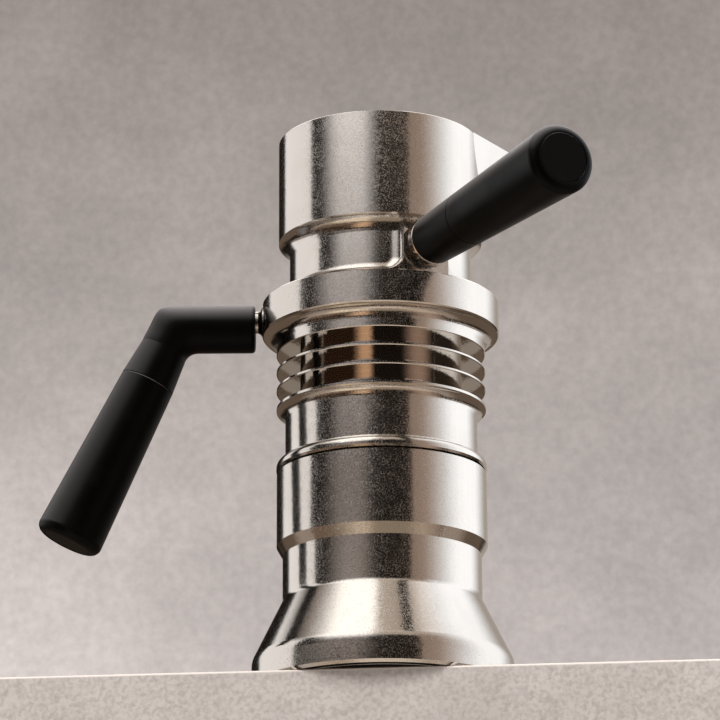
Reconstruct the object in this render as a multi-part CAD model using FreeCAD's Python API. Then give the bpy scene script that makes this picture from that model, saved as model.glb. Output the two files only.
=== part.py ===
import FreeCAD, Part
import os
from math import asin, cos, pi, radians, sin, sqrt, tan
from FreeCAD import Placement, Rotation, Vector

# Stovetop espresso maker, millimetres, +Z up. The origin is the middle of the foot's underside.
# The bent handle points to -X, the straight handle to the front right, the spout to about +X.

# Base, from the foot up
foot_diameter = 90.6
foot_bevel = 1.0
foot_height = 9.2
foot_rounding = 7.0
foot_wall = 5.0
floor_thickness = 6.0
floor_ledge = 1.0
floor_edge = 0.3
flare_height = 21.6
waist_step = 2.1
waist_height = 15.9
waist_fillet = 3.0
bevel_height = 3.7
boiler_diameter = 73.5
boiler_height = 26.2
boiler_wall = 3.0
boiler_edge = 0.5
base_thread_depth = 20.6
ledge_width = 3.25

# Body: skirt, shoulder, band, fins and top collar, each step measured from the boiler or the fins
seam_gap = 0.4
skirt_wall = 1.6
shoulder_proud = 0.15
shoulder_height = 4.2
shoulder_rounding = 2.5
shoulder_undercut = 0.4
band_depth = 3.1
band_height = 18.3
band_fillet = 0.6
band_cove = 3.7
fin_proud = 0.1
fin_depth = 8.35
fin_thickness = 1.1
fin_pitch = 6.77
fin_count = 3
fin_edge = 0.25
core_wall = 3.6
roof_setback = 3.0
collar_overhang = 5.0
collar_ring_height = 7.19
collar_height = 12.0
collar_wall = 7.55
collar_cove = 4.2
collar_edge = 0.4
top_thread_depth = 14.4

# Clearances
thread_clearance = 1.2
running_clearance = 0.3
seat_clearance = 0.15
seal_clearance = 0.05
bolt_clearance = 0.1
lead_in = 0.6

# Gaskets and O-rings
base_gasket_thickness = 2.0
group_gasket_thickness = 2.4
group_gasket_lap = 0.4
ring_section = 2.1

# Plate and piston
plate_thickness = 4.5
plate_rim = 1.45
plate_set_back = 0.4
plate_key_diameter = 5.0
plate_key_spacing = 40.0
piston_height = 13.0
piston_crown = 4.0
piston_skirt_wall = 4.2
piston_edge = 0.8
piston_ring_height = 3.0
piston_ring_spacing = 5.6
piston_ring_count = 2

# Pressure valve, hung in the plate
valve_diameter = 16.0
valve_bore = 11.0
valve_drop = 21.4
valve_floor = 4.0
valve_inlet = 5.0
valve_hex = 22.0
valve_hex_height = 6.0
valve_washer_thickness = 0.8
valve_nut_height = 4.0
valve_stand_out = 1.0
valve_seat_thickness = 1.5
poppet_disc = 1.5
poppet_stem_diameter = 4.8
poppet_stem = 6.0
valve_wire = 1.2
valve_spring_diameter = 9.2
valve_spring_length = 11.0
valve_spring_turns = 5
adjuster_length = 6.0
socket_width = 5.0

# Safety valve, at the rear of the waist
safety_flat_depth = 1.3
safety_thread = 10.0
safety_thread_length = 4.4
safety_washer_diameter = 16.6
safety_washer_thickness = 1.0
safety_hex = 14.0
safety_hex_length = 6.0
safety_barrel = 11.0
safety_barrel_length = 3.2
safety_bore = 7.6
safety_seat = 1.8
safety_inlet = 3.6
safety_pin_head = 1.5
safety_pin_diameter = 2.6
safety_pin_stand_out = 1.4
safety_cap_length = 2.0
safety_wire = 0.7
safety_spring_diameter = 6.6
safety_spring_turns = 5

# Filter basket and screens
basket_wall = 0.8
basket_depth = 21.0
basket_rim = 1.0
basket_lip = 1.2
screen_thickness = 0.8
screen_lap = 1.3
screen_hole = 1.8
screen_ring_step = 4.6
screen_rings = 4

# Top unit: threaded skirt, foot ring, neck and jug
top_gap = 0.3
ring_thickness = 1.6
ring_cove = 3.5
ring_edge = 0.3
neck_step = 3.95
neck_wall = 6.7
neck_height = 20.7
jug_step = 0.7
jug_height = 37.9
jug_wall = 1.6
jug_cove = 5.8
jug_floor_rise = 3.1
jug_slope_below = 2.6
jug_slope_above = 6.4
joint_step = 2.15
joint_height = 1.6
funnel_height = 8.2
riser_diameter = 9.2
riser_bore = 6.4
riser_seat_depth = 4.0
riser_boss_diameter = 15.0
riser_boss_height = 5.0
riser_height = 38.0
riser_outlet = 3.0
riser_cap_diameter = 17.0
riser_cap_edge = 1.6
riser_cap_height = 5.0

# Spout: each level is depth below the rim, half width in degrees, reach beyond the jug
spout_azimuth = 14.0
spout_levels = [(0.0, 35.5, 15.5), (8.5, 33.0, 14.0), (18.0, 23.0, 8.0), (27.0, 8.0, 1.4)]
spout_tip_round = 3.2
spout_root = 20.0

# Both handles
grip_length = 64.0
grip_small_diameter = 19.4
grip_end_diameter = 24.0
grip_end_round = 3.2
grip_end_flat = 0.15
handle_edge = 0.25
cap_thickness = 3.0
cap_recess = 0.15
stud_diameter = 6.0
stud_rest = 2.2
stud_stand_out = 2.0
grip_pocket_diameter = 14.0
grip_pocket_depth = 14.0
nut_width = 10.0
nut_height = 5.0
nut_chamfer = 0.05
nut_corner_left = 0.65
bolt_head_diameter = 10.0
bolt_head_height = 5.0

# Straight handle, level, on an axis through the centre line
straight_azimuth = -62.8
straight_height = 12.1
pad_depth = 1.05
pad_flare = 5.5
pad_fillet = 5.0
pad_step = 0.2
straight_spacer_neck = 2.4
straight_spacer_neck_diameter = 10.0
straight_spacer_flange = 2.9
straight_spacer_diameter = 17.0
ferrule_start_diameter = 17.4
ferrule_start_round = 0.9
ferrule_length = 27.0

# Bent handle, in the plane y = 0
spacer_length = 2.55
spacer_diameter = 7.8
spacer_flare = 11.8
elbow_diameter = 17.0
elbow_reach = 28.7
elbow_leg = 22.0
elbow_turn = 64.6
elbow_inner_round = 5.0
elbow_outer_round = 5.0
elbow_start_round = 1.3
elbow_hole_depth = 15.0

# Radii and heights that follow from the sizes above
foot_radius = foot_diameter / 2
floor_radius = foot_radius - foot_wall + floor_ledge
boiler_radius = boiler_diameter / 2
waist_radius = boiler_radius - waist_step
thread_bore = boiler_radius - boiler_wall
chamber_radius = thread_bore - ledge_width
skirt_radius = thread_bore - thread_clearance
plate_bore = skirt_radius - skirt_wall
cylinder_radius = plate_bore - plate_rim
shoulder_radius = boiler_radius + shoulder_proud
fin_radius = boiler_radius + fin_proud
band_radius = fin_radius - band_depth
core_radius = fin_radius - fin_depth
basket_bore = core_radius - core_wall
collar_radius = fin_radius + collar_overhang
top_thread_bore = collar_radius - collar_wall
gasket_bore = basket_bore - group_gasket_lap
screen_radius = gasket_bore + screen_lap
jug_radius = fin_radius - jug_step
neck_radius = jug_radius - neck_step
neck_bore = neck_radius - neck_wall
joint_radius = jug_radius - joint_step
pad_reach = jug_radius - pad_depth

waist_bottom = foot_height + flare_height
waist_top = waist_bottom + waist_height
boiler_bottom = waist_top + bevel_height
boiler_top = boiler_bottom + boiler_height
base_ledge = boiler_top - base_thread_depth
safety_height = (waist_bottom + waist_top) / 2
skirt_bottom = base_ledge + base_gasket_thickness
plate_bottom = skirt_bottom + plate_set_back
plate_top = plate_bottom + plate_thickness
piston_top = plate_top + piston_height
shoulder_bottom = boiler_top + seam_gap
shoulder_top = shoulder_bottom + shoulder_height
first_fin = shoulder_top + band_height
cylinder_roof = first_fin - roof_setback
collar_ring = first_fin + fin_count * fin_pitch
collar_bottom = collar_ring + collar_ring_height
collar_top = collar_bottom + collar_height
collar_middle = (collar_bottom + collar_top) / 2
basket_ledge = collar_top - top_thread_depth
basket_bottom = basket_ledge - basket_depth
gasket_bottom = basket_ledge + basket_rim
top_face = gasket_bottom + group_gasket_thickness
ring_bottom = collar_top + top_gap
ring_top = ring_bottom + ring_thickness
jug_bottom = ring_top + neck_height
jug_top = jug_bottom + jug_height
jug_floor = ring_top + jug_floor_rise
riser_seat = jug_floor - riser_seat_depth
riser_top = jug_floor + riser_height

up = Vector(0, 0, 1)
middle = Vector(0, 0, 0)


# Closed outline in the XZ plane. A corner is (radius, height), then an optional rounding,
# then an optional point that bows the edge to the next corner.
def outline(corners):
    points = [Vector(corner[0], 0, corner[1]) for corner in corners]
    arrive, leave, edges = [], [], []
    for i, corner in enumerate(corners):
        here = points[i]
        rounding = corner[2] if len(corner) > 2 else 0
        back = (points[i - 1] - here).normalize()
        ahead = (points[(i + 1) % len(points)] - here).normalize()
        half = back.getAngle(ahead) / 2
        reach = rounding / tan(half)
        arrive.append(here + back * reach)
        leave.append(here + ahead * reach)
        if rounding:
            inward = (back + ahead).normalize()
            crown = here + inward * (rounding / sin(half) - rounding)
            edges.append(Part.Arc(arrive[i], crown, leave[i]).toShape())
        else:
            edges.append(None)
    loop = []
    for i, corner in enumerate(corners):
        start, end = leave[i], arrive[(i + 1) % len(corners)] if i + 1 < len(corners) else arrive[0]
        if edges[i]:
            loop.append(edges[i])
        if len(corner) > 3:
            bow = Vector(corner[3][0], 0, corner[3][1])
            loop.append(Part.Arc(start, bow, end).toShape())
        else:
            loop.append(Part.LineSegment(start, end).toShape())
    return Part.Wire(loop)


def turned(corners):
    return Part.Face(outline(corners)).revolve(middle, up, 360)


# Moves a shape made about the Z axis so that its axis runs from start along direction
def aimed(shape, start, direction):
    moved = shape.copy()
    moved.Placement = Placement(start, Rotation(up, direction)).multiply(shape.Placement)
    return moved


def rod(radius, low, high):
    return Part.makeCylinder(radius, high - low, Vector(0, 0, low))


# Shapes for the bent handle's stud are turned about Z and aimed to -X at the collar
def to_left(shape):
    return aimed(shape, Vector(0, 0, collar_middle), Vector(-1, 0, 0))


def tube(outer, inner, low, high):
    return turned([(inner, low), (outer, low), (outer, high), (inner, high)])


def hexagon(width, low, high):
    radius = width / 2 / cos(radians(30))
    corners = [Vector(radius * cos(radians(60 * i)), radius * sin(radians(60 * i)), low) for i in range(7)]
    return Part.Face(Part.makePolygon(corners)).extrude(Vector(0, 0, high - low))


# Hexagon with its corners turned off, as on a nut; the chamfer follows its width
def nut(width, low, high):
    drop = width * nut_chamfer
    crown = width / 2 / cos(radians(30)) - drop * (1 - nut_corner_left)
    blank = turned([(0, low), (crown - drop, low), (crown, low + drop),
                    (crown, high - drop), (crown - drop, high), (0, high)])
    return hexagon(width, low, high).common(blank)


def o_ring(bore, height):
    return Part.makeTorus(bore - seal_clearance - ring_section / 2, ring_section / 2, Vector(0, 0, height))


# The groove that carries such a ring
def ring_groove(outer, bore, height):
    bottom = bore - 2 * seal_clearance - ring_section
    half = ring_section / 2 + seat_clearance
    return tube(outer + 1, bottom, height - half, height + half)


# Hollow curve under a rim: it leaves the wall upright and meets the rim's edge
def cove(wall, rim, radius, rim_height):
    turn = asin((radius - (rim - wall)) / radius)
    centre, base = wall + radius, rim_height - radius * cos(turn)
    half = (radians(90) - turn) / 2
    bow = (centre - radius * cos(half), base + radius * sin(half))
    return [(wall, base, 0, bow), (rim, rim_height)]


# Round wire on a helix about Z, two arcs to each quarter turn
def coil(diameter, wire, low, high, turns):
    radius = (diameter - wire) / 2
    bottom, rise = low + wire / 2, (high - low - wire) / turns
    count = 4 * turns

    def point(i):
        angle = i * pi / 2
        return Vector(radius * cos(angle), radius * sin(angle), bottom + rise * i / 4)

    def heading(i):
        angle = i * pi / 2
        return Vector(-radius * sin(angle), radius * cos(angle), rise / (2 * pi)).normalize()

    def arc(start, course, end):
        chord = end - start
        across = course - chord * (course.dot(chord) / chord.dot(chord))
        sag = chord.Length / 2 * tan(course.getAngle(chord) / 2)
        return Part.Arc(start, start + chord / 2 + across.normalize() * sag, end).toShape()

    path = []
    for i in range(count):
        a, b, ta, tb = point(i), point(i + 1), heading(i), heading(i + 1)
        span, both, spread = b - a, ta + tb, 2 * (1 - ta.dot(tb))
        reach = (sqrt(span.dot(both) ** 2 + spread * span.dot(span)) - span.dot(both)) / spread
        joint = (a + b + (ta - tb) * reach) / 2
        path.append(arc(a, ta, joint))
        path.append(arc(b, tb * -1, joint))
        path[-1].reverse()
    section = Part.Wire(Part.Circle(point(0), heading(0), wire / 2).toShape())
    solid = Part.Wire(path).makePipeShell([section], True, False)
    print("coil", diameter, "least gap between turns", round(rise - wire, 2))
    return solid


# Flat plate with rings of round holes
def sieve(radius, thickness, low):
    holes = [Vector(0, 0, low)]
    for ring in range(1, screen_rings + 1):
        for i in range(6 * ring):
            angle, reach = radians(60 * i / ring), ring * screen_ring_step
            holes.append(Vector(reach * cos(angle), reach * sin(angle), low))
    edges = [Part.Wire(Part.Circle(hole, up, screen_hole / 2).toShape()) for hole in holes]
    rim = Part.Wire(Part.Circle(Vector(0, 0, low), up, radius).toShape())
    return Part.Face([rim] + edges, "Part::FaceMakerBullseye").extrude(Vector(0, 0, thickness))


def base_boiler():
    lean = (foot_radius - waist_radius) / flare_height
    flare = foot_radius - foot_wall
    flare_top = foot_height + (flare - chamber_radius) / lean
    solid = turned([
        (floor_radius, 0), (foot_radius - foot_bevel, 0), (foot_radius, foot_bevel),
        (foot_radius, foot_height, foot_rounding), (waist_radius, waist_bottom, waist_fillet),
        (waist_radius, waist_top), (boiler_radius, boiler_bottom),
        (boiler_radius, boiler_top - boiler_edge), (boiler_radius - boiler_edge, boiler_top),
        (thread_bore + lead_in, boiler_top), (thread_bore, boiler_top - lead_in),
        (thread_bore, base_ledge), (chamber_radius, base_ledge),
        (chamber_radius, flare_top, waist_fillet), (flare, foot_height), (flare, floor_thickness),
        (floor_radius, floor_thickness)])
    hole = to_rear(rod(safety_thread / 2 + bolt_clearance, 0, foot_radius))
    flat = to_rear(rod(safety_washer_diameter / 2 + running_clearance, safety_face, foot_radius))
    return solid.cut([hole, flat])


# Steel disc for the hob, pressed into the base from below
def base_floor():
    return turned([(0, 0), (floor_radius - floor_edge, 0), (floor_radius, floor_edge),
                   (floor_radius, floor_thickness), (0, floor_thickness)])


# The safety valve's pieces are turned about Z and aimed to the rear
safety_face = waist_radius - safety_flat_depth
safety_inner = safety_face - safety_thread_length
safety_hex_end = safety_face + safety_washer_thickness + safety_hex_length
safety_outer = safety_hex_end + safety_barrel_length
safety_spring_start = safety_inner + safety_seat + safety_pin_head
safety_spring_end = safety_outer - safety_cap_length


def to_rear(shape):
    return aimed(shape, Vector(0, 0, safety_height), Vector(0, 1, 0))


def safety_valve_body():
    hex_start = safety_face + safety_washer_thickness
    solid = rod(safety_thread / 2, safety_inner, hex_start)
    solid = solid.fuse([nut(safety_hex, hex_start, safety_hex_end),
                        rod(safety_barrel / 2, safety_hex_end, safety_outer)])
    solid = solid.cut([rod(safety_inlet / 2, safety_inner - 1, safety_outer),
                       rod(safety_bore / 2, safety_inner + safety_seat, safety_outer + 1)])
    return to_rear(solid.removeSplitter())


def safety_valve_washer():
    return to_rear(tube(safety_washer_diameter / 2, safety_thread / 2 + bolt_clearance,
                        safety_face, safety_face + safety_washer_thickness))


def safety_valve_pin():
    seat, tip = safety_inner + safety_seat, safety_outer + safety_pin_stand_out
    head = safety_bore / 2 - running_clearance
    stem = safety_pin_diameter / 2
    return to_rear(turned([(0, seat), (head, seat), (head, safety_spring_start), (stem, safety_spring_start),
                           (stem, tip), (0, tip)]))


def safety_valve_spring():
    return to_rear(coil(safety_spring_diameter, safety_wire, safety_spring_start, safety_spring_end,
                        safety_spring_turns))


def safety_valve_cap():
    return to_rear(tube(safety_bore / 2 - seal_clearance, safety_pin_diameter / 2 + running_clearance,
                        safety_spring_end, safety_outer))


def base_gasket():
    return tube(thread_bore - seat_clearance, chamber_radius + seat_clearance, base_ledge, skirt_bottom)


def body_shell():
    corners = [
        (plate_bore, skirt_bottom), (skirt_radius - lead_in, skirt_bottom),
        (skirt_radius, skirt_bottom + lead_in), (skirt_radius, shoulder_bottom),
        (shoulder_radius - shoulder_undercut, shoulder_bottom),
        (shoulder_radius, shoulder_bottom + 2 * shoulder_undercut),
        (shoulder_radius, shoulder_top, shoulder_rounding), (band_radius, shoulder_top, band_fillet)]
    corners += cove(band_radius, fin_radius, band_cove, first_fin)
    for i in range(fin_count):
        low = first_fin + i * fin_pitch
        high, above = low + fin_thickness, low + fin_pitch
        corners += [(fin_radius, high - fin_edge), (fin_radius - fin_edge, high),
                    (core_radius, high), (core_radius, above),
                    (fin_radius - fin_edge, above), (fin_radius, above + fin_edge)]
    corners += [
        (fin_radius, collar_bottom, collar_cove),
        (collar_radius - collar_edge, collar_bottom), (collar_radius, collar_bottom + collar_edge),
        (collar_radius, collar_top - collar_edge), (collar_radius - collar_edge, collar_top),
        (top_thread_bore + lead_in, collar_top), (top_thread_bore, collar_top - lead_in),
        (top_thread_bore, basket_ledge), (basket_bore, basket_ledge), (basket_bore, cylinder_roof),
        (cylinder_radius, cylinder_roof), (cylinder_radius, plate_top), (plate_bore, plate_top)]
    hole = to_left(rod(stud_diameter / 2 + bolt_clearance, bent_stud_end, collar_radius + 1))
    return turned(corners).cut(hole)


def bottom_plate():
    radius = plate_bore - seat_clearance
    solid = tube(radius, valve_diameter / 2 + bolt_clearance, plate_bottom, plate_top)
    keys = [Part.makeCylinder(plate_key_diameter / 2, plate_thickness / 2,
                              Vector(side * plate_key_spacing / 2, 0, plate_bottom)) for side in (-1, 1)]
    return solid.cut(keys + [ring_groove(radius, plate_bore, (plate_bottom + plate_top) / 2)])


def plate_seal():
    return o_ring(plate_bore, (plate_bottom + plate_top) / 2)


first_ring = plate_top + piston_ring_height
piston_ring_levels = [first_ring + i * piston_ring_spacing for i in range(piston_ring_count)]


def piston():
    radius = cylinder_radius - running_clearance
    inner = radius - piston_skirt_wall
    ceiling = piston_top - piston_crown
    solid = turned([(inner, plate_top), (radius - piston_edge, plate_top), (radius, plate_top + piston_edge),
                    (radius, piston_top - piston_edge), (radius - piston_edge, piston_top), (0, piston_top),
                    (0, ceiling), (inner, ceiling, piston_edge)])
    return solid.cut([ring_groove(radius, cylinder_radius, level) for level in piston_ring_levels])


def piston_seals():
    return Part.makeCompound([o_ring(cylinder_radius, level) for level in piston_ring_levels])


# Pressure valve levels, from the inlet up to the adjuster
valve_collar_top = plate_bottom - valve_washer_thickness
valve_top = plate_top + valve_nut_height + valve_stand_out
valve_bottom = plate_bottom - valve_drop
valve_seat_low = valve_bottom + valve_floor
poppet_low = valve_seat_low + valve_seat_thickness
valve_spring_low = poppet_low + poppet_disc
adjuster_low = valve_spring_low + valve_spring_length


def valve_housing():
    solid = rod(valve_diameter / 2, valve_bottom, valve_top)
    solid = solid.fuse(nut(valve_hex, valve_collar_top - valve_hex_height, valve_collar_top))
    return solid.cut([rod(valve_inlet / 2, valve_bottom - 1, valve_top),
                      rod(valve_bore / 2, valve_seat_low, valve_top + 1)]).removeSplitter()


def valve_washer():
    return tube(valve_hex / 2, valve_diameter / 2 + bolt_clearance, valve_collar_top, plate_bottom)


def valve_nut():
    hole = rod(valve_diameter / 2 + bolt_clearance, plate_top - 1, valve_top)
    return nut(valve_hex, plate_top, plate_top + valve_nut_height).cut(hole)


def valve_seat():
    return tube(valve_bore / 2 - seal_clearance, valve_inlet / 2, valve_seat_low, poppet_low)


def valve_poppet():
    disc = valve_bore / 2 - running_clearance
    stem = poppet_stem_diameter / 2
    stem_top = valve_spring_low + poppet_stem
    return turned([(0, poppet_low), (disc, poppet_low), (disc, valve_spring_low), (stem, valve_spring_low),
                   (stem, stem_top), (0, stem_top)])


def valve_spring():
    return coil(valve_spring_diameter, valve_wire, valve_spring_low, adjuster_low, valve_spring_turns)


def valve_adjuster():
    solid = rod(valve_bore / 2 - seal_clearance, adjuster_low, adjuster_low + adjuster_length)
    return solid.cut(hexagon(socket_width, adjuster_low - 1, adjuster_low + adjuster_length + 1))


def filter_basket():
    outer = basket_bore - running_clearance
    inner = outer - basket_wall
    rim = top_thread_bore - running_clearance
    return turned([(inner - basket_lip, basket_bottom), (outer, basket_bottom), (outer, basket_ledge),
                   (rim, basket_ledge), (rim, gasket_bottom), (inner, gasket_bottom),
                   (inner, basket_bottom + basket_rim), (inner - basket_lip, basket_bottom + basket_rim)])


def basket_floor():
    inner = basket_bore - running_clearance - basket_wall
    return sieve(inner - seal_clearance, screen_thickness, basket_bottom + basket_rim)


def group_gasket():
    return tube(top_thread_bore - running_clearance, gasket_bore, gasket_bottom, top_face)


# Beak shaped by levels below the rim; inset shrinks it to its hollow
def beak(inset):
    sections = []
    for depth, half_width, reach in spout_levels:
        height = jug_top - depth
        side = radians(half_width)
        root = Vector(jug_radius * cos(side), -jug_radius * sin(side), height)
        tip = Vector(jug_radius + reach, 0, height)
        flank = (tip - root).normalize()
        inward = Vector(-flank.y, flank.x, 0) * inset
        tilt = flank.getAngle(Vector(1, 0, 0))
        root, tip = root + inward, tip - Vector(inset / sin(tilt), 0, 0)
        rounding = spout_tip_round - inset
        near = tip - flank * (rounding * cos(tilt) / sin(tilt))
        crest = tip - Vector(rounding / sin(tilt) - rounding, 0, 0)
        back = Vector(spout_root, root.y, height)
        mirror = [Vector(p.x, -p.y, height) for p in (near, root, back)]
        sections.append(Part.Wire([
            Part.LineSegment(back, root).toShape(), Part.LineSegment(root, near).toShape(),
            Part.Arc(near, crest, mirror[0]).toShape(), Part.LineSegment(mirror[0], mirror[1]).toShape(),
            Part.LineSegment(mirror[1], mirror[2]).toShape(), Part.LineSegment(mirror[2], back).toShape()]))
    solid = Part.makeLoft(sections, True, False)
    solid.rotate(middle, up, spout_azimuth)
    return solid


# Shapes for the straight handle are turned about Z, with heights as distances from the centre line
def on_straight(shape):
    azimuth = radians(straight_azimuth)
    return aimed(shape, Vector(0, 0, collar_top + straight_height), Vector(cos(azimuth), sin(azimuth), 0))


stud_start = neck_bore + stud_rest
pad_top = cove(neck_radius, jug_radius, jug_cove, jug_bottom)[0][1] - pad_step


# Upright pad for the handle, left standing from the blank: straight sides that flare at the foot ring
def handle_pad():
    half = sqrt(jug_radius ** 2 - pad_reach ** 2)
    bow = pad_flare * (1 - sqrt(0.5))

    def point(side, height):
        return Vector(neck_bore, side, height)

    corners = [point(-half - pad_flare, ring_top), point(half + pad_flare, ring_top),
               point(half, ring_top + pad_flare), point(half, pad_top),
               point(-half, pad_top), point(-half, ring_top + pad_flare)]
    edges = [Part.LineSegment(corners[i], corners[(i + 1) % 6]).toShape() for i in range(6)]
    for i, side in ((1, 1), (5, -1)):
        middle_point = point(side * (half + bow), ring_top + bow)
        edges[i] = Part.Arc(corners[i], middle_point, corners[(i + 1) % 6]).toShape()
    blank = Part.Face(Part.Wire(edges)).extrude(Vector(pad_reach - neck_bore, 0, 0))
    blank.rotate(middle, up, straight_azimuth)
    return blank.common(rod(jug_radius, ring_top, pad_top))


# Edges where the pad's sides meet the neck
def pad_roots(solid):
    roots = []
    for edge in solid.Edges:
        ends = [vertex.Point for vertex in edge.Vertexes]
        if len(ends) == 2 and abs(ends[0].x - ends[1].x) + abs(ends[0].y - ends[1].y) < 0.01:
            on_neck = abs(Vector(ends[0].x, ends[0].y, 0).Length - neck_radius) < 0.01
            if on_neck and abs(ends[0].z - ends[1].z) > 1:
                roots.append(edge)
    return roots


# Jug and neck in one solid, before they are parted at their joint
def top_blank():
    skirt = top_thread_bore - thread_clearance
    solid = turned([
        (0, top_face), (skirt - lead_in, top_face), (skirt, top_face + lead_in), (skirt, ring_bottom),
        (jug_radius - ring_edge, ring_bottom), (jug_radius, ring_bottom + ring_edge),
        (jug_radius, ring_top - ring_edge), (jug_radius - ring_edge, ring_top),
        (neck_radius, ring_top, ring_cove)] + cove(neck_radius, jug_radius, jug_cove, jug_bottom) + [
        (jug_radius, jug_top - ring_edge), (jug_radius - ring_edge, jug_top), (0, jug_top)])
    solid = solid.fuse([handle_pad(), beak(0)]).removeSplitter()
    solid = solid.makeFillet(pad_fillet, pad_roots(solid))
    inner = jug_radius - jug_wall
    boss_top = jug_floor + riser_boss_height
    hollow = turned([
        (riser_boss_diameter / 2, jug_floor), (neck_bore, jug_floor, ring_cove),
        (neck_bore, jug_bottom - jug_slope_below), (inner, jug_bottom + jug_slope_above),
        (inner, jug_top + 1), (0, jug_top + 1), (0, boss_top), (riser_boss_diameter / 2, boss_top)])
    funnel_low = top_face + screen_thickness + seal_clearance
    feed = riser_bore / 2
    seat = riser_diameter / 2 + seal_clearance
    recess = screen_radius + seat_clearance
    passage = turned([
        (0, top_face - 1), (recess, top_face - 1), (recess, funnel_low), (gasket_bore, funnel_low),
        (feed, funnel_low + funnel_height), (feed, riser_seat), (seat, riser_seat),
        (seat, boss_top + 1), (0, boss_top + 1)])
    hole = on_straight(rod(stud_diameter / 2 + bolt_clearance, stud_start, pad_reach + 1))
    return solid.cut([hollow, beak(jug_wall), passage, hole]).removeSplitter()


# The room that the jug takes above the stepped joint with its neck
def jug_room():
    beyond = 2 * jug_radius
    return turned([
        (0, jug_bottom + joint_height), (joint_radius, jug_bottom + joint_height),
        (joint_radius, jug_bottom - joint_height), (beyond, jug_bottom - joint_height),
        (beyond, jug_top + 1), (0, jug_top + 1)])


def jug():
    return top_blank().common(jug_room())


def jug_neck():
    return top_blank().cut(jug_room())


def top_screen():
    return sieve(screen_radius, screen_thickness, top_face)


def riser_tube():
    solid = tube(riser_diameter / 2, riser_bore / 2, riser_seat, riser_top)
    slot_height = riser_top - riser_outlet
    slots = [Part.makeBox(riser_diameter + 2, riser_outlet, riser_outlet,
                          Vector(-riser_diameter / 2 - 1, -riser_outlet / 2, slot_height))]
    slots.append(slots[0].rotated(middle, up, 90))
    return solid.cut(slots)


def riser_cap():
    radius = riser_cap_diameter / 2
    plug = riser_bore / 2 - seal_clearance
    low = riser_top - 2 * riser_outlet
    return turned([(0, low), (plug, low), (plug / 2, low + riser_outlet), (plug / 2, riser_top),
                   (radius, riser_top), (radius, riser_top + riser_cap_edge),
                   (0, riser_top + riser_cap_height)])


# Grip with its seam end at height zero; both handles use it
def grip():
    length = grip_length
    small, end = grip_small_diameter / 2, grip_end_diameter / 2
    pocket, cap = grip_pocket_diameter / 2, end - grip_end_round - grip_end_flat
    hole = stud_diameter / 2 + bolt_clearance
    cap_seat = length - cap_thickness
    return turned([
        (hole, 0), (small - handle_edge, 0), (small, handle_edge), (end, length, grip_end_round),
        (cap, length), (cap, cap_seat), (pocket, cap_seat), (pocket, cap_seat - grip_pocket_depth),
        (hole, cap_seat - grip_pocket_depth)])


def end_cap():
    length = grip_length
    radius = grip_end_diameter / 2 - grip_end_round - grip_end_flat - seal_clearance
    face = length - cap_recess
    low = length - cap_thickness
    return turned([(0, low), (radius, low), (radius, face - handle_edge), (radius - handle_edge, face),
                   (0, face)])


flange_start = pad_reach + straight_spacer_neck
ferrule_start = flange_start + straight_spacer_flange
straight_seam = ferrule_start + ferrule_length
straight_pocket = straight_seam + grip_length - cap_thickness - grip_pocket_depth


def straight_spacer():
    hole, neck = stud_diameter / 2 + bolt_clearance, straight_spacer_neck_diameter / 2
    flange = straight_spacer_diameter / 2
    return on_straight(turned([
        (hole, pad_reach), (neck, pad_reach), (neck, flange_start), (flange - handle_edge, flange_start),
        (flange, flange_start + handle_edge), (flange, ferrule_start - handle_edge),
        (flange - handle_edge, ferrule_start), (hole, ferrule_start)]))


def straight_ferrule():
    hole = stud_diameter / 2 + bolt_clearance
    start, end = ferrule_start_diameter / 2, grip_small_diameter / 2
    return on_straight(turned([
        (hole, ferrule_start), (start, ferrule_start, ferrule_start_round),
        (end, straight_seam - handle_edge), (end - handle_edge, straight_seam), (hole, straight_seam)]))


def straight_grip():
    return on_straight(grip().translated(Vector(0, 0, straight_seam)))


def straight_end_cap():
    return on_straight(end_cap().translated(Vector(0, 0, straight_seam)))


def straight_stud():
    return on_straight(rod(stud_diameter / 2, stud_start, straight_pocket + nut_height + stud_stand_out))


def straight_nut():
    hole = rod(stud_diameter / 2 + seal_clearance, straight_pocket - 1, straight_pocket + nut_height + 1)
    return on_straight(nut(nut_width, straight_pocket, straight_pocket + nut_height).cut(hole))


# Bent handle: u is the distance towards -X, v the height
elbow_radius = elbow_diameter / 2
elbow_start = collar_radius + spacer_length
elbow_height = collar_top - elbow_radius
elbow_corner = elbow_start + elbow_reach


def in_plane(u, v):
    return Vector(-u, 0, v)


slope = radians(elbow_turn)
slope_direction = in_plane(cos(slope), -sin(slope))
bent_stud_end = top_thread_bore + stud_rest
hair = 1e-7  # keeps the bend's first and last ellipse from being shorter across than along
bent_seam = in_plane(elbow_corner, elbow_height) + slope_direction * elbow_leg


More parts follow.
